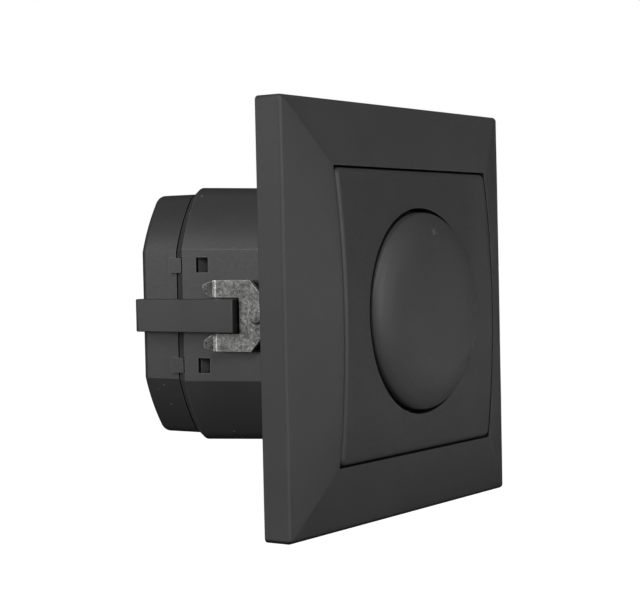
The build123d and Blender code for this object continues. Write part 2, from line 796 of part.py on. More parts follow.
# Return spring between the plunger's flange and the board
spring_front = plunger_flange_depth + plunger_flange + spring_wire / 2
spring_length = board_depth - spring_wire / 2 - spring_front
with BuildPart() as return_spring:
    with BuildLine() as coil:
        Helix(
            pitch=spring_length / spring_turns,
            height=spring_length,
            radius=spring_radius,
            center=(0, spring_front, 0),
            direction=(0, 1, 0),
        )
    with BuildSketch(Plane(origin=coil.line @ 0, z_dir=coil.line % 0)):
        Circle(spring_wire / 2)
    sweep(path=coil.line)
return_spring.part.label = "return_spring"
export_step(return_spring.part, "parts/return_spring.step")

# Circuit board on the housing's posts
with BuildPart() as circuit_board:
    with BuildSketch(behind(board_back)) as board_outline:
        Rectangle(board_width, board_height)
        chamfer(board_outline.vertices(), board_corner)
    extrude(amount=board_thickness)
circuit_board.part.label = "circuit_board"
export_step(circuit_board.part, "parts/circuit_board.step")

# Heat sink sheet with the triac clamped below it
with BuildPart() as heat_sink:
    with BuildSketch(Plane.XY.offset(heat_sink_z)) as sink_outline:
        with Locations((0, board_back + heat_sink_length / 2)):
            Rectangle(heat_sink_width, heat_sink_length)
        fillet(sink_outline.vertices().group_by(Axis.Y)[-1], 2 * heat_sink_sheet)
    extrude(amount=heat_sink_sheet)
heat_sink.part.label = "heat_sink"
export_step(heat_sink.part, "parts/heat_sink.step")

with BuildPart() as triac:
    with BuildSketch(Plane.XY.offset(heat_sink_z)):
        with Locations((0, board_back + triac_lift + triac_length / 2)):
            Rectangle(triac_width, triac_length)
    extrude(amount=-triac_thickness)
    with BuildSketch(behind(board_back + triac_lift)):
        with Locations((0, heat_sink_z - triac_thickness / 2)):
            with GridLocations(triac_leg_pitch, 0, 3, 1):
                Rectangle(triac_leg_width, triac_leg_width)
    extrude(amount=triac_lift)
triac.part.label = "triac"
export_step(triac.part, "parts/triac.step")

# Choke: ring core lying on the board, wound round most of its length
choke_axis = Axis((choke_x, 0, choke_z), (0, 1, 0))
choke_depth = board_back + choke_winding_wall + choke_core_height / 2
choke_plane = Plane(origin=(choke_x, choke_depth, choke_z), x_dir=(1, 0, 0), z_dir=(0, 0, 1))
with BuildPart() as choke_core:
    with BuildSketch(choke_plane):
        with Locations((choke_radius, 0)):
            Rectangle(choke_core_width, choke_core_height)
    revolve(axis=choke_axis)
choke_core.part.label = "choke_core"
export_step(choke_core.part, "parts/choke_core.step")

with BuildPart() as choke_winding:
    with BuildSketch(choke_plane) as winding_section:
        with Locations((choke_radius, 0)):
            Rectangle(choke_core_width + 2 * choke_winding_wall, choke_core_height + 2 * choke_winding_wall)
            fillet(winding_section.vertices(), choke_winding_wall)
            Rectangle(choke_core_width, choke_core_height, mode=Mode.SUBTRACT)
    revolve(axis=choke_axis, revolution_arc=choke_angle)
choke_winding.part.label = "choke_winding"
export_step(choke_winding.part, "parts/choke_winding.step")

# Film capacitor standing on the board
with BuildPart() as capacitor:
    with BuildSketch(behind(board_back + capacitor_length)):
        with Locations((capacitor_x, capacitor_z)):
            RectangleRounded(capacitor_width, capacitor_thickness, capacitor_radius)
    extrude(amount=capacitor_length)
    fillet(capacitor.faces().sort_by(Axis.Y)[-1].edges(), capacitor_radius / 2)
capacitor.part.label = "capacitor"
export_step(capacitor.part, "parts/capacitor.step")

# Fuse: glass tube with two metal caps, held in two sheet clips
fuse_cap_starts = (-fuse_length / 2, fuse_length / 2 - fuse_cap_length)
with BuildPart() as fuse_tube:
    with BuildSketch(Plane.YZ.offset(-fuse_length / 2)):
        with Locations((fuse_depth, fuse_z)):
            Circle(fuse_radius)
    extrude(amount=fuse_length)
fuse_tube.part.label = "fuse_tube"
export_step(fuse_tube.part, "parts/fuse_tube.step")

with BuildPart() as fuse_caps:
    for start in fuse_cap_starts:
        with BuildSketch(Plane.YZ.offset(start)):
            with Locations((fuse_depth, fuse_z)):
                Circle(fuse_cap_radius)
                Circle(fuse_radius, mode=Mode.SUBTRACT)
        extrude(amount=fuse_cap_length)
fuse_caps.part.label = "fuse_caps"
export_step(fuse_caps.part, "parts/fuse_caps.step")

with BuildPart() as fuse_clips:
    for start in fuse_cap_starts:
        with BuildSketch(Plane.YZ.offset(start)):
            with Locations((board_back, fuse_z)):
                Rectangle(
                    fuse_lift + 2 * fuse_cap_radius,
                    2 * fuse_clip_half_height,
                    align=(Align.MIN, Align.CENTER),
                )
            with Locations((fuse_depth, fuse_z)):
                Circle(fuse_cap_radius + running_gap, mode=Mode.SUBTRACT)
                Rectangle(
                    2 * fuse_cap_radius,
                    2 * fuse_cap_radius + 2 * running_gap,
                    align=(Align.MIN, Align.CENTER),
                    mode=Mode.SUBTRACT,
                )
        extrude(amount=fuse_cap_length)
fuse_clips.part.label = "fuse_clips"
export_step(fuse_clips.part, "parts/fuse_clips.step")

# Terminal block: three cells for the clamps, open at the back, with a wire entry in the underside
cell_width = terminal_pitch - terminal_block_wall
cell_height = terminal_block_height - 2 * terminal_block_wall
with BuildPart() as terminal_block:
    with BuildSketch(behind(terminal_block_depth)):
        with Locations((0, terminal_z)):
            Rectangle(terminal_block_width, terminal_block_height)
    extrude(amount=terminal_block_depth - board_back)
    with BuildSketch(behind(terminal_block_depth)):
        with Locations(terminal_columns):
            Rectangle(cell_width, cell_height)
    extrude(amount=terminal_block_depth - clamp_depth, mode=Mode.SUBTRACT)
    with BuildSketch(Plane.XY.offset(terminal_z - terminal_block_height / 2)):
        with Locations([(x, wire_depth) for x, z in terminal_columns]):
            Circle(wire_hole_radius)
    extrude(amount=terminal_block_wall, mode=Mode.SUBTRACT)
terminal_block.part.label = "terminal_block"
export_step(terminal_block.part, "parts/terminal_block.step")

# Clamps: brass cages with a wire channel from below and a tapped back wall
clamp_width = cell_width - 2 * running_gap
clamp_height = cell_height - 2 * running_gap
for number, (x, z) in enumerate(terminal_columns, 1):
    with BuildPart() as clamp:
        with BuildSketch(behind(clamp_back)):
            with Locations((x, z)):
                Rectangle(clamp_width, clamp_height)
        extrude(amount=clamp_length)
        with BuildSketch(Plane.XY.offset(z - clamp_height / 2)):
            with Locations((x, wire_depth)):
                Rectangle(clamp_width - 2 * clamp_wall, clamp_channel)
        extrude(amount=clamp_height, mode=Mode.SUBTRACT)
        with BuildSketch(behind(clamp_back)):
            with Locations((x, z)):
                Circle(terminal_screw_radius + running_gap)
        extrude(amount=clamp_back_wall, mode=Mode.SUBTRACT)
    clamp.part.label = f"terminal_clamp_{number}"
    export_step(clamp.part, f"parts/terminal_clamp_{number}.step")

# Terminal screws, with their heads in the rear cap's access holes
screw_seat_depth = clamp_back + fit_gap
with BuildPart() as terminal_screws:
    with BuildSketch(behind(screw_seat_depth)):
        with Locations(terminal_columns):
            Circle(terminal_screw_radius)
    extrude(amount=terminal_screw_length)
    with BuildSketch(behind(screw_seat_depth + terminal_screw_head)):
        with Locations(terminal_columns):
            Circle(terminal_screw_head_radius)
    extrude(amount=terminal_screw_head)
    with BuildSketch(behind(screw_seat_depth + terminal_screw_head)):
        with Locations(terminal_columns):
            Rectangle(2 * terminal_screw_head_radius, driver_slot_width)
    extrude(amount=driver_slot_depth, mode=Mode.SUBTRACT)
terminal_screws.part.label = "terminal_screws"
export_step(terminal_screws.part, "parts/terminal_screws.step")
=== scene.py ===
import json
import math

import bmesh
import bpy
from bpy.props import FloatProperty, FloatVectorProperty, IntProperty, PointerProperty
from mathutils import Matrix, Vector


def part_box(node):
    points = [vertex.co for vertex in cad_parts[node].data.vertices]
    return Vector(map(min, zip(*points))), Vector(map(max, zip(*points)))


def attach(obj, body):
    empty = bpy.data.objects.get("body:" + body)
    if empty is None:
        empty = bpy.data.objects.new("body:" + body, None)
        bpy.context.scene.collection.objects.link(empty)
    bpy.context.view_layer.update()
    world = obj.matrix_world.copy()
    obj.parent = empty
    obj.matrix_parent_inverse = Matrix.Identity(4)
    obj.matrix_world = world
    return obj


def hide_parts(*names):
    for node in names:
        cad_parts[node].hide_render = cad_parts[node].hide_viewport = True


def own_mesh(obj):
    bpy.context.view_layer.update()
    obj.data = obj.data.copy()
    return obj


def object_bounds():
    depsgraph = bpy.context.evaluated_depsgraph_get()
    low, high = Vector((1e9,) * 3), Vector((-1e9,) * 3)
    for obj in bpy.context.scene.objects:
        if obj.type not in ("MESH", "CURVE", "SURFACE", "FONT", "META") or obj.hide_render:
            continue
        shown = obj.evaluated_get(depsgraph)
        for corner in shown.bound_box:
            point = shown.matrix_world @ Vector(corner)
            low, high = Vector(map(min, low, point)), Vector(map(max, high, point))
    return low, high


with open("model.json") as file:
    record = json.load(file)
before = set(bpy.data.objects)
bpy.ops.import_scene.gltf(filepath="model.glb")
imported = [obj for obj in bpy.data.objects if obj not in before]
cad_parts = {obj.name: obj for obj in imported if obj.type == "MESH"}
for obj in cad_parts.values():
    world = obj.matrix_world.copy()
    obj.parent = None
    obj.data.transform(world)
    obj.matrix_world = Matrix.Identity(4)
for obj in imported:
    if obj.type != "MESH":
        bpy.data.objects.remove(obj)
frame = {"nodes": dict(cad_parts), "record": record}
cad_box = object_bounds()

bl_info = {
    "name": "Flush Rotary Dimmer",
    "version": (1, 0, 0),
    "blender": (4, 5, 0),
    "location": "3D View > Sidebar > Dimmer",
    "description": "Dresses the packed dimmer switch with its finishes, threads and winding",
    "category": "Object",
}

BODY_OF = {
    node: body
    for body, nodes in frame["record"]["behaviour"]["bodies"].items()
    for node in nodes
}

# Lengths are in metres, and texture scales are in cells to the metre

# Mending and shading of the meshes
WELD = 1e-6
PLACES_TO_METRE = 1e6
OUTLOOK_STEPS = 100
SHARP_ANGLE = math.radians(30)
RIM_SHARP_ANGLE = math.radians(80)
ROUND_ANGLE = math.radians(40)
ROUND_SEGMENTS = 2
LARGE_FACE_WEIGHT = 100
AUTOMATIC_NORMAL = (0.0, 0.0, 0.0)

# Crowned face of the knob, with the rounded edge that its solid has
KNOB_FACE = {"face_radius": 0.01936, "crown": 0.0009, "edge": 0.0014}
KNOB_EDGE_MARGIN = 0.0001

# Arched front of the cover plate, and how well a face of it has to fit the curve
COVER_ARCH = {"edge_height": 0.0091, "rise": 0.0016, "half_height": 0.02765}
ARCH_TOLERANCE = 0.00006
ARCH_ALIGNMENT = 0.998

# Fine rounding on the edges of small pieces
FINE_ROUND = 0.00005
SHEET_ROUND = 0.00006
TURNED_ROUND = 0.00008
MOULDED_ROUND = 0.0001
COATED_ROUND = 0.0002

# Thread of the claw screws, which stops short of both ends
THREAD_CORE = 0.00148
THREAD_INSET = 0.0003
THREAD_STEPS = 24
THREAD_SIDES = 4

# Winding of the choke, on the ring core that it goes round
WINDING_SWEEP = math.radians(292)
WINDING_FIRST = math.radians(34)
WINDING_INSET = 0.0015
WINDING_WIDTH = 0.0040
WINDING_OVERHANG = 0.0010
WIRE_BEND = 1.6
WIRE_BEND_STEPS = 5
WIRE_SIDES = 8

# Middle range of a texture, which is spread over its two shades
MIDDLE = (0.3, 0.7)

# Grain, clouding, painted edge highlights, painted shade in narrow gaps, and dust of the
# mouldings
FRONT_GRAIN = 2600.0
INSERT_GRAIN = 1800.0
INNER_GRAIN = 1500.0
BOARD_GRAIN = 900.0
CORE_GRAIN = 800.0
GRAIN_DEPTH = 0.00004
CLOUD_SCALE = 70.0
CLOUD_TINTS = (0.93, 1.07)
# Painted highlight: edges are made paler where the surface turns, as if they caught the light
EDGE_HIGHLIGHT_RADIUS = 0.00035
EDGE_HIGHLIGHT_TINT = 3.0
EDGE_TURN = 0.86
FLAT_TURN = 0.995
# Painted shade: the colour darkens in narrow gaps, which ambient occlusion finds
GAP_SHADE_REACH = 0.004
GAP_SHADE_AO_RANGE = (0.38, 0.47)
GAP_SHADE_TINT = 0.04
DUST_SCALE = 600.0
DUST_SIZE = 0.12
DUST_FREE_CELLS = (0.72, 0.74)
DUST_COLOUR = (0.45, 0.45, 0.44)

# Bloom and pits of the plated sheet, with painted glints, painted highlights on its edges and
# a painted highlight line along the claws' fold
SPANGLE = 700.0
SPANGLE_SHARE = 0.3
BLOOM_TINTS = (0.25, 1.5)
PIT_TINT = 0.12
GLINT_TINT = 3.4
PIT_DEPTH = 0.0003
# Painted highlights on the edges and bends of the sheet
PLATED_EDGE_RADIUS = 0.0003
PLATED_EDGE_TURN = 0.9
PLATED_EDGE_HIGHLIGHT_TINT = 2.2
# Painted highlight: a bright line across the claws at the depth of their fold
FOLD_DEPTH = 0.0223
FOLD_HIGHLIGHT_HALF_WIDTH = 0.00028
FOLD_HIGHLIGHT_TINT = 3.6

# Draw lines of plain metal, and the faint haze of glass
DRAW_SCALE = 900.0
DRAW_TINTS = (0.85, 1.1)
DRAW_DEPTH = 0.00003
HAZE_SCALE = 300.0

# Colours of the pieces inside
NICKEL = (0.55, 0.52, 0.45)
CAP_NICKEL = (0.6, 0.58, 0.52)
SPRING_STEEL = (0.45, 0.45, 0.45)
SINK_METAL = (0.72, 0.73, 0.74)
COPPER = (0.62, 0.25, 0.10)
BRASS = (0.62, 0.43, 0.16)
BLACK = (0.02, 0.02, 0.021)
EPOXY_BLACK = (0.015, 0.015, 0.016)
CREAM = (0.62, 0.58, 0.48)
GREY = (0.18, 0.18, 0.18)
LAMINATE_GREEN = (0.03, 0.16, 0.06)
CORE_YELLOW = (0.25, 0.22, 0.03)
FILM_YELLOW = (0.45, 0.30, 0.02)

# Studio, with the azimuth and elevation of the lights in degrees
GROUND = cad_box[0].z
FLOOR_SIDE = 4.0
PAPER_SCALE = 40.0
PAPER_SHADES = ((0.58, 0.58, 0.58), (0.62, 0.62, 0.62))
DARK_PAPER = (0.06, 0.06, 0.06)
WHITE = (1.0, 1.0, 1.0, 1.0)
LIGHT_DISTANCE = 0.9
KEY_LIGHT = {"angles": (-24, 14), "size": 0.45}
SIDE_LIGHT = {"angles": (-75, 45), "size": 0.4}
RIM_LIGHT = {"angles": (-125, 14), "size": 0.45}
STRAIGHT_DOWN = (1.0, 0.0, 0.0, 0.0)
FLOOR_LIGHT = {
    "place": (0.17, -0.14, 0.3),
    "turn": STRAIGHT_DOWN,
    "size": 0.1,
    "beam": math.radians(25),
}
SENSOR_WIDTH_MM = 36.0
NEAREST_SEEN = 0.01
FARTHEST_SEEN = 20.0


class FinishSettings(bpy.types.PropertyGroup):
    """Colours and surfaces of the dimmer's pieces."""

    front_colour: FloatVectorProperty(
        name="Front Colour",
        description="Colour of the frame, cover plate and knob",
        subtype="COLOR",
        size=3,
        min=0.0,
        max=1.0,
        default=(0.038, 0.038, 0.038),
    )
    front_roughness: FloatProperty(
        name="Front Roughness",
        description="Roughness of the satin front mouldings",
        subtype="FACTOR",
        min=0.0,
        max=1.0,
        default=0.58,
    )
    insert_colour: FloatVectorProperty(
        name="Insert Colour",
        description="Colour of the housing, rear cap and claw guides",
        subtype="COLOR",
        size=3,
        min=0.0,
        max=1.0,
        default=(0.05, 0.05, 0.05),
    )
    insert_roughness: FloatProperty(
        name="Insert Roughness",
        description="Roughness of the matt insert mouldings",
        subtype="FACTOR",
        min=0.0,
        max=1.0,
        default=0.4,
    )
    zinc_colour: FloatVectorProperty(
        name="Zinc Colour",
        description="Colour of the zinc-plated sheet and screws",
        subtype="COLOR",
        size=3,
        min=0.0,
        max=1.0,
        default=(0.26, 0.26, 0.25),
    )


class SizeSettings(bpy.types.PropertyGroup):
    """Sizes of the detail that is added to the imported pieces."""

    edge_round: FloatProperty(
        name="Edge Round",
        description="Width of the fine rounding on the frame and the claw guides",
        subtype="DISTANCE",
        unit="LENGTH",
        min=0.0,
        default=0.00018,
    )
    rim_width: FloatProperty(
        name="Rim Width",
        description="Width of the knob's soft rim, in from its edge",
        subtype="DISTANCE",
        unit="LENGTH",
        min=0.001,
        default=0.009,
    )
    rim_depth: FloatProperty(
        name="Rim Depth",
        description="How far the knob's soft rim drops towards the wall",
        subtype="DISTANCE",
        unit="LENGTH",
        min=0.0,
        default=0.0035,
    )
    thread_pitch: FloatProperty(
        name="Thread Pitch",
        description="Distance between the turns of the claw screws' thread",
        subtype="DISTANCE",
        unit="LENGTH",
        min=0.0001,
        default=0.0005,
    )
    thread_ridge: FloatProperty(
        name="Thread Ridge",
        description="Height of the ridge of the claw screws' thread",
        subtype="DISTANCE",
        unit="LENGTH",
        min=0.00001,
        default=0.00016,
    )
    winding_turns: IntProperty(
        name="Winding Turns",
        description="Number of wire turns on the choke",
        min=2,
        default=22,
    )
    wire_radius: FloatProperty(
        name="Wire Radius",
        description="Radius of the choke's wire",
        subtype="DISTANCE",
        unit="LENGTH",
        min=0.00001,
        default=0.00045,
    )


class StageSettings(bpy.types.PropertyGroup):
    """Camera and light of the studio."""

    camera_place: FloatVectorProperty(
        name="Camera Place",
        description="Where the camera stands",
        subtype="TRANSLATION",
        unit="LENGTH",
        size=3,
        default=(-0.280028, -0.177778, 0.011976),
    )
    camera_azimuth: FloatProperty(
        name="Camera Azimuth",
        description="Turn of the view about the vertical, from straight in front",
        subtype="ANGLE",
        unit="ROTATION",
        default=-0.9693,
    )
    camera_elevation: FloatProperty(
        name="Camera Elevation",
        description="Tilt of the view above the horizon",
        subtype="ANGLE",
        unit="ROTATION",
        default=0.0288,
    )
    camera_roll: FloatProperty(
        name="Camera Roll",
        description="Turn of the picture about the line of sight",
        subtype="ANGLE",
        unit="ROTATION",
        default=-0.0218,
    )
    camera_lens: FloatProperty(
        name="Lens",
        description="Focal length on a 36 mm wide sensor",
        unit="CAMERA",
        default=92.946,
    )
    key_power: FloatProperty(
        name="Key Power",
        description="Power of the large soft light in front",
        unit="POWER",
        min=0.0,
        default=4.7,
    )
    rim_power: FloatProperty(
        name="Rim Power",
        description="Power of the low soft light behind on the left",
        unit="POWER",
        min=0.0,
        default=2.4,
    )
    side_power: FloatProperty(
        name="Side Power",
        description="Power of the soft light above on the left",
        unit="POWER",
        min=0.0,
        default=3.9,
    )
    floor_power: FloatProperty(
        name="Floor Power",
        description="Power of the narrow light that shines down on the floor at the right",
        unit="POWER",
        min=0.0,
        default=0.25,
    )
    sky_strength: FloatProperty(
        name="Sky Strength",
        description="Strength of the even light from all round",
        min=0.0,
        default=0.01,
    )


def shader_tree(name):
    """A new node material with its principled shader and Object coordinates."""
    material = bpy.data.materials.new(name)
    material.use_nodes = True
    nodes = material.node_tree.nodes
    shader = nodes["Principled BSDF"]
    place = nodes.new("ShaderNodeTexCoord")
    return material, material.node_tree, shader, place.outputs["Object"]


def put(tree, socket, value):
    """Links a socket to another, or sets it to a plain value."""
    if isinstance(value, bpy.types.NodeSocket):
        tree.links.new(value, socket)
    else:
        socket.default_value = value


def worked(tree, operation, *values):
    """Maths node on numbers or sockets."""
    node = tree.nodes.new("ShaderNodeMath")
    node.operation = operation
    for socket, value in zip(node.inputs, values):
        put(tree, socket, value)
    return node.outputs["Value"]


def noise(tree, place, scale, detail=3.0, roughness=0.55):
    """Noise texture on the piece's own coordinates."""
    node = tree.nodes.new("ShaderNodeTexNoise")
    node.inputs["Scale"].default_value = scale
    node.inputs["Detail"].default_value = detail
    node.inputs["Roughness"].default_value = roughness
    tree.links.new(place, node.inputs["Vector"])
    return node.outputs["Fac"]


def cells(tree, place, scale):
    """Voronoi cells on the piece's own coordinates."""
    node = tree.nodes.new("ShaderNodeTexVoronoi")
    node.inputs["Scale"].default_value = scale
    tree.links.new(place, node.inputs["Vector"])
    return node.outputs


def axes(tree, place):
    """The three coordinates of a place, by name."""
    node = tree.nodes.new("ShaderNodeSeparateXYZ")
    tree.links.new(place, node.inputs["Vector"])
    return node.outputs


def spread(tree, factor, low, high, start=MIDDLE[0], end=MIDDLE[1]):
    """Maps the range from start to end of a factor to a range of values."""
    node = tree.nodes.new("ShaderNodeMapRange")
    node.inputs["From Min"].default_value = start
    node.inputs["From Max"].default_value = end
    node.inputs["To Min"].default_value = low
    node.inputs["To Max"].default_value = high
    tree.links.new(factor, node.inputs["Value"])
    return node.outputs["Result"]


def shades(tree, factor, dark, light):
    """Blends two colours by a texture."""
    node = tree.nodes.new("ShaderNodeValToRGB")
    for stop, position, colour in zip(node.color_ramp.elements, MIDDLE, (dark, light)):
        stop.position = position
        stop.color = (*colour, 1.0)
    tree.links.new(factor, node.inputs["Fac"])
    return node.outputs["Color"]


def mixed(tree, factor, first, second):
    """Mixes a second colour over a first by a factor."""
    node = tree.nodes.new("ShaderNodeMix")
    node.data_type = "RGBA"
    tree.links.new(factor, node.inputs["Factor"])
    for socket, colour in zip((node.inputs[6], node.inputs[7]), (first, second)):
        put(tree, socket, (*colour, 1.0) if isinstance(colour, tuple) else colour)
    return node.outputs[2]


def bump(tree, shader, height, strength, distance):
    """Fine relief on the shader's normal."""
    node = tree.nodes.new("ShaderNodeBump")
    node.inputs["Strength"].default_value = strength
    node.inputs["Distance"].default_value = distance
    tree.links.new(height, node.inputs["Height"])
    tree.links.new(node.outputs["Normal"], shader.inputs["Normal"])


def tint(colour, factor):
    """A colour made lighter or darker."""
    return tuple(min(1.0, part * factor) for part in colour)


def tints(colour, factors):
    """A darker and a lighter tint of a colour."""
    return [tint(colour, factor) for factor in factors]


def edge_mask(tree, radius, turned):
    """One on rounded edges and nought on flat skin, by how far the surface turns nearby."""
    rounded = tree.nodes.new("ShaderNodeBevel")
    rounded.samples = 4
    rounded.inputs["Radius"].default_value = radius
    skin = tree.nodes.new("ShaderNodeNewGeometry")
    turn = tree.nodes.new("ShaderNodeVectorMath")
    turn.operation = "DOT_PRODUCT"
    tree.links.new(rounded.outputs["Normal"], turn.inputs[0])
    tree.links.new(skin.outputs["Normal"], turn.inputs[1])
    return spread(tree, turn.outputs["Value"], 1.0, 0.0, turned, FLAT_TURN)


def gap_shade_mask(tree):
    """One in narrow gaps, where painted shade goes, and nought on open skin and in open
    corners.
    """
    node = tree.nodes.new("ShaderNodeAmbientOcclusion")
    node.samples = 8
    node.inputs["Distance"].default_value = GAP_SHADE_REACH
    return spread(tree, node.outputs["AO"], 1.0, 0.0, *GAP_SHADE_AO_RANGE)


def dust_specks(tree, place):
    """Sparse pale specks, one in some of the cells of a Voronoi texture."""
    cell = cells(tree, place, DUST_SCALE)
    near = spread(tree, cell["Distance"], 1.0, 0.0, 0.5 * DUST_SIZE, DUST_SIZE)
    pick = tree.nodes.new("ShaderNodeSeparateColor")
    tree.links.new(cell["Color"], pick.inputs["Color"])
    some = spread(tree, pick.outputs["Red"], 0.0, 1.0, *DUST_FREE_CELLS)
    return worked(tree, "MULTIPLY", near, some)


def moulded_plastic(
    name,
    colour,
    roughness,
    grain=INNER_GRAIN,
    relief=0.2,
    edge_highlight=0.25,
    specks=0.0,
    turned=EDGE_TURN,
):
    """Moulded plastic with a fine grain, slight clouding, painted highlights on its edges,
    painted shade in narrow gaps, and dust.
    """
    material, tree, shader, place = shader_tree(name)
    cloud = noise(tree, place, CLOUD_SCALE)
    skin = shades(tree, cloud, *tints(colour, CLOUD_TINTS))
    # Painted shade: the colour darkens in narrow gaps
    skin = mixed(tree, gap_shade_mask(tree), skin, tint(colour, GAP_SHADE_TINT))
    # Painted highlight: the rounded edges are made paler
    if edge_highlight > 0:
        lit_edges = spread(tree, edge_mask(tree, EDGE_HIGHLIGHT_RADIUS, turned), 0.0, edge_highlight, 0.0, 1.0)
        skin = mixed(tree, lit_edges, skin, tint(colour, EDGE_HIGHLIGHT_TINT))
    if specks > 0:
        dust = spread(tree, dust_specks(tree, place), 0.0, specks, 0.0, 1.0)
        skin = mixed(tree, dust, skin, DUST_COLOUR)
    tree.links.new(skin, shader.inputs["Base Color"])
    fine = noise(tree, place, grain, detail=2.0, roughness=0.6)
    satin = spread(tree, fine, roughness - 0.05, roughness + 0.06)
    tree.links.new(satin, shader.inputs["Roughness"])
    bump(tree, shader, fine, relief, GRAIN_DEPTH)
    shader.inputs["IOR"].default_value = 1.5
    return material


def satin_front(name, shade, relief, edge_highlight):
    """Satin plastic of the front, in one shade of its colour."""
    finish = bpy.context.scene.dimmer_finish
    colour = tint(finish.front_colour, shade)
    return moulded_plastic(name, colour, finish.front_roughness, FRONT_GRAIN, relief, edge_highlight)


def plated_metal(name, colour, low, high):
    """Plated sheet with a stained bloom, fine pits, painted glints, painted highlights on its
    edges and a painted highlight line along the claws' fold.
    """
    material, tree, shader, place = shader_tree(name)
    shader.inputs["Metallic"].default_value = 1.0
    spangles = cells(tree, place, SPANGLE)
    stain = noise(tree, place, SPANGLE * 0.5, detail=6.0, roughness=0.7)
    pits = noise(tree, place, SPANGLE * 2.0, detail=4.0, roughness=0.7)
    mottle = worked(tree, "MULTIPLY_ADD", spangles["Color"], SPANGLE_SHARE, stain)
    bloom_and_highlights = shades(tree, mottle, *tints(colour, BLOOM_TINTS))
    speckle = spread(tree, pits, 0.0, 0.55, start=0.48, end=0.62)
    bloom_and_highlights = mixed(tree, speckle, bloom_and_highlights, tint(colour, PIT_TINT))
    glint = spread(tree, pits, 0.35, 0.0, start=0.34, end=0.44)
    bloom_and_highlights = mixed(tree, glint, bloom_and_highlights, tint(colour, GLINT_TINT))
    # Painted highlight: the sheet's edges and bends are made paler, as if they caught the
    # light
    edges = edge_mask(tree, PLATED_EDGE_RADIUS, PLATED_EDGE_TURN)
    bloom_and_highlights = mixed(tree, edges, bloom_and_highlights, tint(colour, PLATED_EDGE_HIGHLIGHT_TINT))
    # Painted highlight: a bright band of colour at the depth of the claws' fold
    fold_highlight = worked(tree, "COMPARE", axes(tree, place)["Y"], FOLD_DEPTH, FOLD_HIGHLIGHT_HALF_WIDTH)
    bloom_and_highlights = mixed(tree, fold_highlight, bloom_and_highlights, tint(colour, FOLD_HIGHLIGHT_TINT))
    tree.links.new(bloom_and_highlights, shader.inputs["Base Color"])
    tree.links.new(spread(tree, stain, low, high), shader.inputs["Roughness"])
    bump(tree, shader, pits, 0.9, PIT_DEPTH)
    return material


def drawn_metal(name, colour, roughness):
    """Plain drawn or turned metal with fine draw lines."""
    material, tree, shader, place = shader_tree(name)
    shader.inputs["Metallic"].default_value = 1.0
    streak = noise(tree, place, DRAW_SCALE, detail=2.0)
    skin = shades(tree, streak, *tints(colour, DRAW_TINTS))
    tree.links.new(skin, shader.inputs["Base Color"])
    sheen = spread(tree, streak, roughness - 0.08, roughness + 0.1)
    tree.links.new(sheen, shader.inputs["Roughness"])
    bump(tree, shader, streak, 0.15, DRAW_DEPTH)
    return material


def clear_glass(name):
    """Clear glass of the fuse tube."""
    material, tree, shader, place = shader_tree(name)
    shader.inputs["Transmission Weight"].default_value = 0.9
    shader.inputs["IOR"].default_value = 1.47
    haze = spread(tree, noise(tree, place, HAZE_SCALE), 0.02, 0.06)
    tree.links.new(haze, shader.inputs["Roughness"])
    return material


def soft_rim(shape, front, face_radius, crown, edge, width, depth):
    """Draws a crowned knob's rounded edge out to a wide soft rim. Its pip keeps its height."""
    for point in shape.vertices:
        radius = math.hypot(point.co.x, point.co.z)
        share = min(1.0, 1.0 + (radius - face_radius) / width)
        if share > 0 and point.co.y < front + crown + edge + KNOB_EDGE_MARGIN:
            bow = front + crown * (radius / face_radius) ** 2
            drop = depth * (1 - math.sqrt(1 - share ** 2))
            rise = max(0.0, bow - point.co.y)
            point.co.y = bow + drop - rise


def mend(shape):
    """Joins the loose triangles of a mesh, drops degenerate ones and shades it smooth."""
    work = bmesh.new()
    work.from_mesh(shape)
    bmesh.ops.remove_doubles(work, verts=work.verts, dist=WELD)
    bmesh.ops.dissolve_degenerate(work, dist=WELD, edges=work.edges)
    work.to_mesh(shape)
    work.free()
    shape.shade_smooth()


def round_edges(piece, width):
    """Rounds the sharp edges of a piece finely."""
    rounding = piece.modifiers.new("Edge Round", "BEVEL")
    rounding.width = width
    rounding.segments = ROUND_SEGMENTS
    rounding.limit_method = "ANGLE"
    rounding.angle_limit = ROUND_ANGLE
    rounding.use_clamp_overlap = False


def level_faces(piece):
    """Shades flat faces flat, and leaves the turn of the light to the narrow ones between."""
    levelling = piece.modifiers.new("Level Faces", "WEIGHTED_NORMAL")
    levelling.mode = "FACE_AREA"
    levelling.weight = LARGE_FACE_WEIGHT
    levelling.keep_sharp = True


def bake(piece):
    """Turns a piece with modifiers into a plain mesh."""
    evaluated = piece.evaluated_get(bpy.context.evaluated_depsgraph_get())
    piece.data = bpy.data.meshes.new_from_object(evaluated)
    piece.modifiers.clear()


def keep_inside(shape, low, high):
    """Moves what a rounded corner pushed out of the node's box back to its wall."""
    for point in shape.vertices:
        sides = zip(point.co, low, high)
        point.co = [min(max(value, least), most) for value, least, most in sides]


def corner_keys(shape):
    """Place of each corner of a mesh and outlook of its face, in whole numbers to match."""
    for face in shape.polygons:
        outlook = tuple(round(value * OUTLOOK_STEPS) for value in face.normal)
        for corner in face.vertices:
            place = shape.vertices[corner].co
            yield tuple(round(value * PLACES_TO_METRE) for value in place) + outlook


def carry_normals(shape, source):
    """Shades a mended copy of a mesh as the mesh itself is shaded."""
    corners = zip(corner_keys(source), source.corner_normals)
    known = {key: corner.vector.copy() for key, corner in corners}
    normals = [known.get(key, AUTOMATIC_NORMAL) for key in corner_keys(shape)]
    shape.normals_split_custom_set(normals)


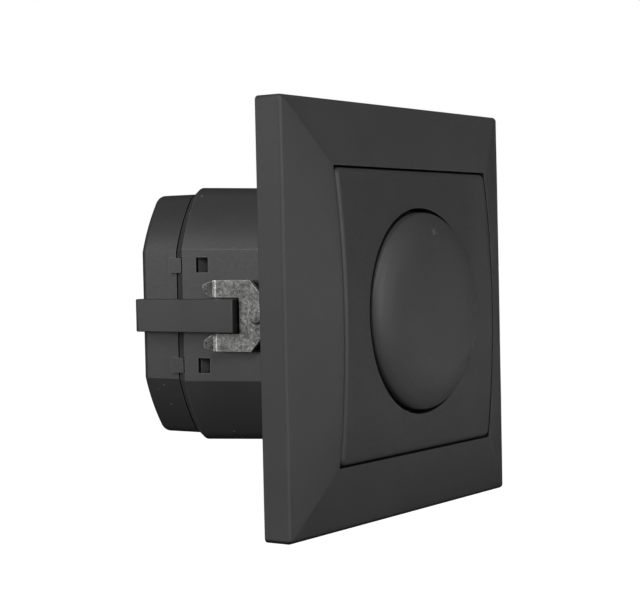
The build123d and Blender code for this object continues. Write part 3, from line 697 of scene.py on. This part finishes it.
def arch_shading(shape, edge_height, rise, half_height):
    """Shades the arched front of a plate along its true curve, at each corner of its faces."""
    radius = (half_height ** 2 + rise ** 2) / (2 * rise)
    axis_y = radius - edge_height - rise
    normals = [corner.vector.copy() for corner in shape.corner_normals]
    for face in shape.polygons:
        outward = Vector((0, face.center.y - axis_y, face.center.z))
        on_curve = abs(outward.length - radius) < ARCH_TOLERANCE
        if on_curve and face.normal.dot(outward.normalized()) > ARCH_ALIGNMENT:
            for loop in face.loop_indices:
                corner = shape.vertices[shape.loops[loop].vertex_index].co
                normals[loop] = Vector((0, corner.y - axis_y, corner.z)).normalized()
    shape.normals_split_custom_set(normals)


def settle(piece, *nodes):
    """Lets a finished piece stand for its nodes and ride on their body."""
    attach(piece, BODY_OF[nodes[0]])
    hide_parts(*nodes)
    return piece


def refine(node, material, edge_round=0.0, arch=None, rim=None, own_normals=False):
    """Mended copy of a node with fine edges and smooth curves, which stands for the node."""
    source = frame["nodes"][node].data
    shape = source.copy()
    if rim:
        soft_rim(shape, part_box(node)[0].y, **rim)
    shape.materials.clear()
    shape.materials.append(material)
    mend(shape)
    shape.set_sharp_from_angle(angle=RIM_SHARP_ANGLE if rim else SHARP_ANGLE)
    piece = bpy.data.objects.new(f"{node}_finished", shape)
    bpy.context.scene.collection.objects.link(piece)
    if edge_round > 0:
        round_edges(piece, edge_round)
    if not own_normals:
        level_faces(piece)
    bake(piece)
    keep_inside(piece.data, *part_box(node))
    if own_normals:
        carry_normals(piece.data, source)
    if arch:
        arch_shading(piece.data, **arch)
    return settle(piece, node)


def refine_all(nodes, material, edge_round):
    """Refines several nodes in one finish."""
    for node in nodes:
        refine(node, material, edge_round)


def node_tree(name, inputs):
    """New geometry tree with a mesh input, named size inputs and a geometry output."""
    tree = bpy.data.node_groups.new(name, "GeometryNodeTree")
    tree.interface.new_socket("Geometry", in_out="INPUT", socket_type="NodeSocketGeometry")
    for label, kind in inputs:
        tree.interface.new_socket(label, in_out="INPUT", socket_type=kind)
    tree.interface.new_socket("Geometry", in_out="OUTPUT", socket_type="NodeSocketGeometry")
    return tree, tree.nodes.new("NodeGroupInput"), tree.nodes.new("NodeGroupOutput")


def made_by(tree, name, values):
    """Plain mesh piece made by a geometry tree with the given inputs."""
    piece = bpy.data.objects.new(name, bpy.data.meshes.new(name))
    bpy.context.scene.collection.objects.link(piece)
    modifier = piece.modifiers.new(tree.name, "NODES")
    modifier.node_group = tree
    for socket in tree.interface.items_tree:
        if socket.in_out == "INPUT" and socket.name in values:
            modifier[socket.identifier] = values[socket.name]
    bake(piece)
    if not piece.data.polygons:
        raise RuntimeError(f"{name} came out empty")
    return piece


def linked(tree, kind, mode=None, **inputs):
    """New geometry node in the given mode, whose inputs are set or linked to sockets."""
    node = tree.nodes.new(kind)
    if mode:
        node.mode = mode
    for label, value in inputs.items():
        put(tree, node.inputs[label.replace("_", " ")], value)
    return node


def closing(tree, geometry, material, ends):
    """Realizes the instances, sets the material and ends the tree."""
    whole = linked(tree, "GeometryNodeRealizeInstances", Geometry=geometry)
    smooth = linked(tree, "GeometryNodeSetShadeSmooth", Geometry=whole.outputs["Geometry"])
    finished = linked(
        tree,
        "GeometryNodeSetMaterial",
        Geometry=smooth.outputs["Geometry"],
        Material=material,
    )
    tree.links.new(finished.outputs["Geometry"], ends.inputs["Geometry"])


def thread_tree():
    """Screw thread: a ridge wound round a core along +Y."""
    number, place = "NodeSocketFloat", "NodeSocketVector"
    tree, starts, ends = node_tree("Screw thread", (
        ("Core Radius", number),
        ("Ridge", number),
        ("Pitch", number),
        ("Length", number),
        ("Start", place),
        ("Material", "NodeSocketMaterial"),
    ))
    sizes = starts.outputs
    turns = worked(tree, "DIVIDE", sizes["Length"], sizes["Pitch"])
    line = linked(
        tree,
        "GeometryNodeCurveSpiral",
        Resolution=THREAD_STEPS,
        Rotations=turns,
        Start_Radius=sizes["Core Radius"],
        End_Radius=sizes["Core Radius"],
        Height=sizes["Length"],
    )
    profile = linked(
        tree,
        "GeometryNodeCurvePrimitiveCircle",
        Resolution=THREAD_SIDES,
        Radius=sizes["Ridge"],
    )
    ridge = linked(
        tree,
        "GeometryNodeCurveToMesh",
        Curve=line.outputs["Curve"],
        Profile_Curve=profile.outputs["Curve"],
        Fill_Caps=True,
    )
    stood = linked(
        tree,
        "GeometryNodeTransform",
        Geometry=ridge.outputs["Mesh"],
        Rotation=(-math.pi / 2, 0, 0),
        Translation=sizes["Start"],
    )
    closing(tree, stood.outputs["Geometry"], sizes["Material"], ends)
    return tree


def winding_tree():
    """Ring winding: wire turns set round part of a ring core that lies flat on the board."""
    number, place = "NodeSocketFloat", "NodeSocketVector"
    tree, starts, ends = node_tree("Ring winding", (
        ("Turns", "NodeSocketInt"),
        ("Sweep", number),
        ("First Angle", number),
        ("Ring Radius", number),
        ("Turn Width", number),
        ("Turn Height", number),
        ("Wire Radius", number),
        ("Centre", place),
        ("Material", "NodeSocketMaterial"),
    ))
    sizes = starts.outputs
    section = linked(
        tree,
        "GeometryNodeCurvePrimitiveQuadrilateral",
        Width=sizes["Turn Width"],
        Height=sizes["Turn Height"],
    )
    rounded = linked(
        tree,
        "GeometryNodeFilletCurve",
        "POLY",
        Curve=section.outputs["Curve"],
        Radius=worked(tree, "MULTIPLY", sizes["Wire Radius"], WIRE_BEND),
        Count=WIRE_BEND_STEPS,
    )
    profile = linked(
        tree,
        "GeometryNodeCurvePrimitiveCircle",
        Resolution=WIRE_SIDES,
        Radius=sizes["Wire Radius"],
    )
    wire = linked(
        tree,
        "GeometryNodeCurveToMesh",
        Curve=rounded.outputs["Curve"],
        Profile_Curve=profile.outputs["Curve"],
    )
    reach = linked(tree, "ShaderNodeCombineXYZ", X=sizes["Ring Radius"])
    turn = linked(
        tree,
        "GeometryNodeTransform",
        Geometry=wire.outputs["Mesh"],
        Translation=reach.outputs["Vector"],
    )
    places = linked(
        tree,
        "GeometryNodeMeshLine",
        Count=sizes["Turns"],
        Start_Location=sizes["Centre"],
        Offset=(0, 0, 0),
    )
    index = tree.nodes.new("GeometryNodeInputIndex")
    last = worked(tree, "SUBTRACT", sizes["Turns"], 1)
    share = worked(tree, "DIVIDE", index.outputs["Index"], last)
    swept = worked(tree, "MULTIPLY", share, sizes["Sweep"])
    angle = worked(tree, "ADD", sizes["First Angle"], swept)
    about = linked(tree, "ShaderNodeCombineXYZ", Y=angle)
    turns = linked(
        tree,
        "GeometryNodeInstanceOnPoints",
        Points=places.outputs["Mesh"],
        Instance=turn.outputs["Geometry"],
        Rotation=about.outputs["Vector"],
    )
    closing(tree, turns.outputs["Instances"], sizes["Material"], ends)
    return tree


class DIMMER_OT_front(bpy.types.Operator):
    """Finish the frame, the cover plate and the knob"""

    bl_idname = "dimmer.front"
    bl_label = "Finish Front"

    def execute(self, context):
        sizes = context.scene.dimmer_sizes
        # The last number of each front moulding sets the strength of its painted edge
        # highlight
        rail = satin_front("Frame anthracite", shade=1.15, relief=0.22, edge_highlight=0.12)
        refine("frame", rail, sizes.edge_round)
        skin = satin_front("Cover anthracite", shade=0.96, relief=0.22, edge_highlight=0.45)
        refine("cover_plate", skin, arch=COVER_ARCH, own_normals=True)
        soft = satin_front("Knob anthracite", shade=1.15, relief=0.18, edge_highlight=0.0)
        rim = {**KNOB_FACE, "width": sizes.rim_width, "depth": sizes.rim_depth}
        refine("knob", soft, rim=rim)
        return {"FINISHED"}


class DIMMER_OT_insert(bpy.types.Operator):
    """Finish the housing, the rear cap and the claw guides"""

    bl_idname = "dimmer.insert"
    bl_label = "Finish Insert"

    def execute(self, context):
        finish = context.scene.dimmer_finish
        colour = finish.insert_colour
        skin = {
            "roughness": finish.insert_roughness,
            "grain": INSERT_GRAIN,
            "relief": 0.35,
            "specks": 0.6,
        }
        # The housing and cap get painted highlights on their edges, and the housing's also run
        # along the crease of its flat
        matt = moulded_plastic("Housing grey", colour, edge_highlight=0.6, turned=0.97, **skin)
        refine("housing", matt, own_normals=True)
        dark = moulded_plastic("Cap grey", tint(colour, 0.85), edge_highlight=0.5, **skin)
        refine("rear_cap", dark, own_normals=True)
        edge_round = context.scene.dimmer_sizes.edge_round
        refine_all(("claw_guide_left", "claw_guide_right"), dark, edge_round)
        return {"FINISHED"}


class DIMMER_OT_plate(bpy.types.Operator):
    """Finish the support plate, the claws and the screws"""

    bl_idname = "dimmer.plate"
    bl_label = "Finish Plate And Claws"

    def execute(self, context):
        colour = context.scene.dimmer_finish.zinc_colour
        sizes = context.scene.dimmer_sizes
        claw_screws = ("claw_screw_left", "claw_screw_right")
        zinc = plated_metal("Zinc plated sheet", colour, low=0.4, high=0.62)
        refine_all(("support_plate", "claw_left", "claw_right"), zinc, SHEET_ROUND)
        bright = drawn_metal("Zinc plated screw", tint(colour, 1.3), roughness=0.3)
        refine_all((*claw_screws, "plate_screws", "terminal_screws"), bright, FINE_ROUND)
        thread = thread_tree()
        for node in claw_screws:
            low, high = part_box(node)
            piece = made_by(thread, f"{node}_thread", {
                "Core Radius": THREAD_CORE,
                "Ridge": sizes.thread_ridge,
                "Pitch": sizes.thread_pitch,
                "Length": high.y - 2 * THREAD_INSET,
                "Start": ((low.x + high.x) / 2, THREAD_INSET, 0.0),
                "Material": bright,
            })
            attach(piece, BODY_OF[node])
        return {"FINISHED"}


class DIMMER_OT_control(bpy.types.Operator):
    """Finish the turning control and the push switch"""

    bl_idname = "dimmer.control"
    bl_label = "Finish Control"

    def execute(self, context):
        nickel = drawn_metal("Nickelled brass", NICKEL, roughness=0.3)
        refine_all(("pot_bush", "pot_shaft", "fixing_nut"), nickel, TURNED_ROUND)
        black = moulded_plastic("Black moulding", BLACK, roughness=0.4)
        refine_all(("pot_body", "pot_rotor", "push_switch"), black, MOULDED_ROUND)
        cream = moulded_plastic("Cream moulding", CREAM, roughness=0.4)
        refine("push_plunger", cream, MOULDED_ROUND)
        wire = drawn_metal("Spring wire", SPRING_STEEL, roughness=0.3)
        spring = refine("return_spring", wire)
        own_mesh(spring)
        return {"FINISHED"}


class DIMMER_OT_board(bpy.types.Operator):
    """Finish the circuit board and what it carries"""

    bl_idname = "dimmer.board"
    bl_label = "Finish Board"

    def execute(self, context):
        sizes = context.scene.dimmer_sizes
        smooth = {"grain": BOARD_GRAIN, "relief": 0.15}
        laminate = moulded_plastic("Green laminate", LAMINATE_GREEN, roughness=0.35, **smooth)
        refine("circuit_board", laminate, MOULDED_ROUND)
        sheet = drawn_metal("Sink sheet", SINK_METAL, roughness=0.35)
        refine("heat_sink", sheet, MOULDED_ROUND)
        epoxy = moulded_plastic("Epoxy black", EPOXY_BLACK, roughness=0.45)
        refine("triac", epoxy, MOULDED_ROUND)
        coat = moulded_plastic("Coated core", CORE_YELLOW, roughness=0.4, grain=CORE_GRAIN)
        refine("choke_core", coat, COATED_ROUND)
        low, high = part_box("choke_winding")
        copper = drawn_metal("Lacquered copper", COPPER, roughness=0.25)
        core_low, core_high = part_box("choke_core")
        winding = made_by(winding_tree(), "choke_winding_turns", {
            "Turns": sizes.winding_turns,
            "Sweep": WINDING_SWEEP,
            "First Angle": WINDING_FIRST,
            "Ring Radius": (core_high.x - core_low.x) / 2 - WINDING_INSET,
            "Turn Width": WINDING_WIDTH,
            "Turn Height": core_high.y - core_low.y + WINDING_OVERHANG,
            "Wire Radius": sizes.wire_radius,
            "Centre": (low + high) / 2,
            "Material": copper,
        })
        settle(winding, "choke_winding")
        film = moulded_plastic("Film box", FILM_YELLOW, roughness=0.3, **smooth)
        refine("capacitor", film, COATED_ROUND)
        refine("fuse_tube", clear_glass("Fuse glass"), MOULDED_ROUND)
        nickel = drawn_metal("Nickelled caps", CAP_NICKEL, roughness=0.28)
        refine_all(("fuse_caps", "fuse_clips"), nickel, FINE_ROUND)
        return {"FINISHED"}


class DIMMER_OT_terminals(bpy.types.Operator):
    """Finish the terminal block and its clamps"""

    bl_idname = "dimmer.terminals"
    bl_label = "Finish Terminals"

    def execute(self, context):
        grey = moulded_plastic("Grey moulding", GREY, roughness=0.45)
        refine("terminal_block", grey, MOULDED_ROUND)
        brass = drawn_metal("Clamp brass", BRASS, roughness=0.32)
        clamps = ("terminal_clamp_1", "terminal_clamp_2", "terminal_clamp_3")
        refine_all(clamps, brass, MOULDED_ROUND)
        return {"FINISHED"}


def bearing(azimuth, elevation):
    """Direction at an angle from straight in front and an angle above the horizon."""
    return Vector((
        math.sin(azimuth) * math.cos(elevation),
        -math.cos(azimuth) * math.cos(elevation),
        math.sin(elevation),
    ))


def soft_light(name, place, turn, size, power, beam=math.pi):
    """Square soft light at a place, turned to shine one way in a wide or narrow beam."""
    lamp = bpy.data.lights.new(name, "AREA")
    lamp.shape = "SQUARE"
    lamp.size = size
    lamp.energy = power
    lamp.spread = beam
    item = bpy.data.objects.new(name, lamp)
    item.location = place
    item.rotation_mode = "QUATERNION"
    item.rotation_quaternion = turn
    bpy.context.scene.collection.objects.link(item)


def aimed_light(name, angles, size, power):
    """Soft light at azimuth and elevation in degrees, which points at the object."""
    place = LIGHT_DISTANCE * bearing(*(math.radians(angle) for angle in angles))
    soft_light(name, place, (-place).to_track_quat("-Z", "Y"), size, power)


def sky(strength):
    """Surroundings that look white and give an even light of the given strength."""
    world = bpy.data.worlds.new("Studio sky")
    world.use_nodes = True
    tree = world.node_tree
    light = tree.nodes["Background"]
    light.inputs["Color"].default_value = WHITE
    light.inputs["Strength"].default_value = strength
    white = tree.nodes.new("ShaderNodeBackground")
    white.inputs["Color"].default_value = WHITE
    white.inputs["Strength"].default_value = 1.0
    looks = camera_switch(tree, light.outputs["Background"], white.outputs["Background"])
    tree.links.new(looks, tree.nodes["World Output"].inputs["Surface"])
    bpy.context.scene.world = world


def camera_switch(tree, light, look):
    """Shader that lights the object one way and looks another way in the picture."""
    path = tree.nodes.new("ShaderNodeLightPath")
    switch = tree.nodes.new("ShaderNodeMixShader")
    tree.links.new(path.outputs["Is Camera Ray"], switch.inputs["Fac"])
    tree.links.new(light, switch.inputs[1])
    tree.links.new(look, switch.inputs[2])
    return switch.outputs["Shader"]


def floor_paper():
    """Pale paper, dark where it would light the insert, which looks white in the picture."""
    material, tree, shader, place = shader_tree("Pale floor")
    near = shades(tree, noise(tree, place, PAPER_SCALE), *PAPER_SHADES)
    sides = axes(tree, place)
    behind = spread(tree, sides["Y"], 0.0, 1.0, start=-0.05, end=0.02)
    left = spread(tree, sides["X"], 1.0, 0.0, start=-0.06, end=0.02)
    insert_side = worked(tree, "MAXIMUM", behind, left)
    tree.links.new(mixed(tree, insert_side, near, DARK_PAPER), shader.inputs["Base Color"])
    shader.inputs["Roughness"].default_value = 0.9
    distance = tree.nodes.new("ShaderNodeVectorMath")
    distance.operation = "LENGTH"
    tree.links.new(place, distance.inputs[0])
    glow = tree.nodes.new("ShaderNodeEmission")
    strength = spread(tree, distance.outputs["Value"], 0.985, 1.02, start=0.05, end=0.2)
    tree.links.new(strength, glow.inputs["Strength"])
    bright = tree.nodes.new("ShaderNodeAddShader")
    tree.links.new(shader.outputs["BSDF"], bright.inputs[0])
    tree.links.new(glow.outputs["Emission"], bright.inputs[1])
    looks = camera_switch(tree, shader.outputs["BSDF"], bright.outputs["Shader"])
    tree.links.new(looks, tree.nodes["Material Output"].inputs["Surface"])
    return material


def floor():
    """Pale floor under the frame's lower edge."""
    shape = bpy.data.meshes.new("floor")
    signs = ((-1, -1), (1, -1), (1, 1), (-1, 1))
    corners = [(x * FLOOR_SIDE, y * FLOOR_SIDE, GROUND) for x, y in signs]
    shape.from_pydata(corners, [], [(0, 1, 2, 3)])
    shape.materials.append(floor_paper())
    item = bpy.data.objects.new("floor", shape)
    bpy.context.scene.collection.objects.link(item)


def camera(settings):
    """Camera at the photograph's angle."""
    back = bearing(settings.camera_azimuth, settings.camera_elevation)
    roll = settings.camera_roll
    right = (-back).cross(Vector((0, 0, 1))).normalized()
    up = right.cross(-back)
    turned_right = math.cos(roll) * right + math.sin(roll) * up
    turned_up = math.cos(roll) * up - math.sin(roll) * right
    lens = bpy.data.cameras.new("camera")
    lens.sensor_fit = "HORIZONTAL"
    lens.sensor_width = SENSOR_WIDTH_MM
    lens.lens = settings.camera_lens
    lens.clip_start = NEAREST_SEEN
    lens.clip_end = FARTHEST_SEEN
    item = bpy.data.objects.new("camera", lens)
    turn = Matrix((turned_right, turned_up, back)).transposed().to_4x4()
    item.matrix_world = Matrix.Translation(settings.camera_place) @ turn
    bpy.context.scene.collection.objects.link(item)
    bpy.context.scene.camera = item


class DIMMER_OT_stage(bpy.types.Operator):
    """Set the floor, the lights and the camera"""

    bl_idname = "dimmer.stage"
    bl_label = "Set Stage"

    def execute(self, context):
        settings = context.scene.dimmer_stage
        context.scene.view_settings.view_transform = "Standard"
        floor()
        sky(settings.sky_strength)
        aimed_light("Key light", power=settings.key_power, **KEY_LIGHT)
        aimed_light("Side light", power=settings.side_power, **SIDE_LIGHT)
        aimed_light("Rim light", power=settings.rim_power, **RIM_LIGHT)
        soft_light("Floor light", power=settings.floor_power, **FLOOR_LIGHT)
        camera(settings)
        return {"FINISHED"}


class DIMMER_PT_panel(bpy.types.Panel):
    """Finishes, sizes and stage of the dimmer"""

    bl_label = "Dimmer"
    bl_idname = "DIMMER_PT_panel"
    bl_space_type = "VIEW_3D"
    bl_region_type = "UI"
    bl_category = "Dimmer"

    def draw(self, context):
        layout = self.layout
        scene = context.scene
        for group in (scene.dimmer_finish, scene.dimmer_sizes, scene.dimmer_stage):
            for name in group.bl_rna.properties.keys():
                if name not in ("rna_type", "name"):
                    layout.prop(group, name)
        for operator in OPERATORS:
            layout.operator(operator.bl_idname)


OPERATORS = (
    DIMMER_OT_front,
    DIMMER_OT_insert,
    DIMMER_OT_plate,
    DIMMER_OT_control,
    DIMMER_OT_board,
    DIMMER_OT_terminals,
    DIMMER_OT_stage,
)
CLASSES = (FinishSettings, SizeSettings, StageSettings, *OPERATORS, DIMMER_PT_panel)


def register():
    """Registers the classes and gives the scene its settings."""
    for cls in CLASSES:
        bpy.utils.register_class(cls)
    bpy.types.Scene.dimmer_finish = PointerProperty(type=FinishSettings)
    bpy.types.Scene.dimmer_sizes = PointerProperty(type=SizeSettings)
    bpy.types.Scene.dimmer_stage = PointerProperty(type=StageSettings)


def unregister():
    """Takes the settings and the classes away again."""
    del bpy.types.Scene.dimmer_stage
    del bpy.types.Scene.dimmer_sizes
    del bpy.types.Scene.dimmer_finish
    for cls in reversed(CLASSES):
        bpy.utils.unregister_class(cls)


def main():
    """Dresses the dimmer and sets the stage."""
    register()
    bpy.ops.dimmer.front()
    bpy.ops.dimmer.insert()
    bpy.ops.dimmer.plate()
    bpy.ops.dimmer.control()
    bpy.ops.dimmer.board()
    bpy.ops.dimmer.terminals()
    bpy.ops.dimmer.stage()


if __name__ == "__main__":
    main()
